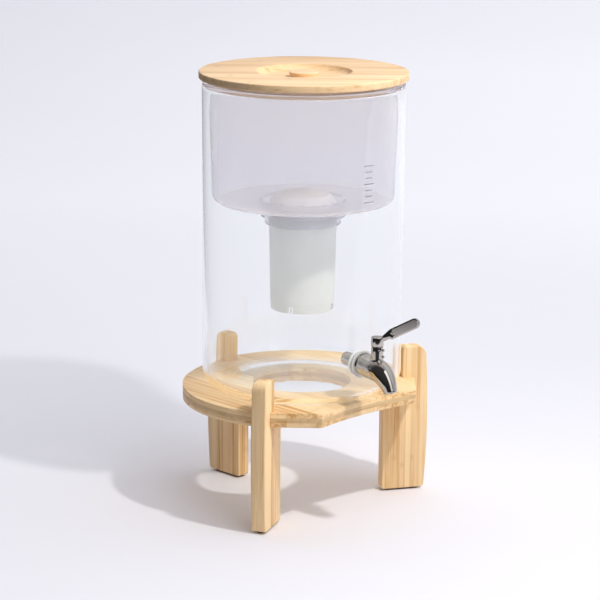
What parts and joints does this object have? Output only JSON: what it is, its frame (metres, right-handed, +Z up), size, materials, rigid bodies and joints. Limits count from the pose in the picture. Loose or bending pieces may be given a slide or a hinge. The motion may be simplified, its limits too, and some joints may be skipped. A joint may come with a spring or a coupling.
{
  "type": "countertop water dispenser",
  "caption": "Glass jar on a low wooden stand, with a steel spigot, a hanging tinted reservoir with a filter cartridge through its floor, and a flat wooden lid.",
  "frame": {"origin": "on the standing surface, under the middle of the bounding box; the jar's axis is 17.9 mm behind it", "axes": "+Z up; -Y is the front, which the stand's scoop faces; the spigot points 8.1 degrees away from -Y, towards -X"},
  "size_m": [0.2523, 0.3136, 0.4578],
  "materials": {
    "bamboo": "oiled bamboo",
    "bamboo_end": "plain",
    "glass": "clear",
    "tinted_plastic": "frosted translucent lilac",
    "white_plastic": "satin",
    "steel": "polished stainless steel",
    "silicone": "translucent white silicone",
    "foot_rubber": "dark brown",
    "felt": "white felt",
    "carbon": "granular black"
  },
  "bodies": {
    "stand": {"platform": "bamboo", "leg_back": "bamboo", "leg_front_left": "bamboo", "leg_front_right": "bamboo", "foot_pad_back": "foot_rubber", "foot_pad_front_left": "foot_rubber", "foot_pad_front_right": "foot_rubber", "dowel_back": "bamboo_end", "dowel_front_left": "bamboo_end", "dowel_front_right": "bamboo_end"},
    "jar": {"glass_jar": "glass", "spigot_body": "steel", "washer_outer": "silicone", "washer_inner": "silicone", "spigot_nut": "steel"},
    "lever": {"lever": "steel", "valve_plug": "steel"},
    "reservoir": {"reservoir": "tinted_plastic"},
    "filter": {"filter_housing": "white_plastic", "filter_cap": "white_plastic", "filter_grille": "white_plastic", "filter_pad_low": "felt", "filter_pad_top": "felt", "carbon_bed": "carbon", "filter_gasket": "silicone"},
    "lid": {"lid": "bamboo", "lid_seal": "silicone"}
  },
  "joints": [
    {"name": "jar_lift", "type": "slide", "parent": "stand", "child": "jar", "axis": [0, 0, 1], "range_m": [0, 0.15]},
    {"name": "lever_turn", "type": "hinge", "parent": "jar", "child": "lever", "pos_m": [-0.01829, -0.11065, 0.1945], "axis": [0, 0, -1], "range_deg": [0, 90]},
    {"name": "reservoir_lift", "type": "slide", "parent": "jar", "child": "reservoir", "axis": [0, 0, 1], "range_m": [0, 0.26]},
    {"name": "filter_lift", "type": "slide", "parent": "reservoir", "child": "filter", "axis": [0, 0, 1], "range_m": [0, 0.095]},
    {"name": "lid_lift", "type": "slide", "parent": "reservoir", "child": "lid", "axis": [0, 0, 1], "range_m": [0, 0.12]}
  ]
}
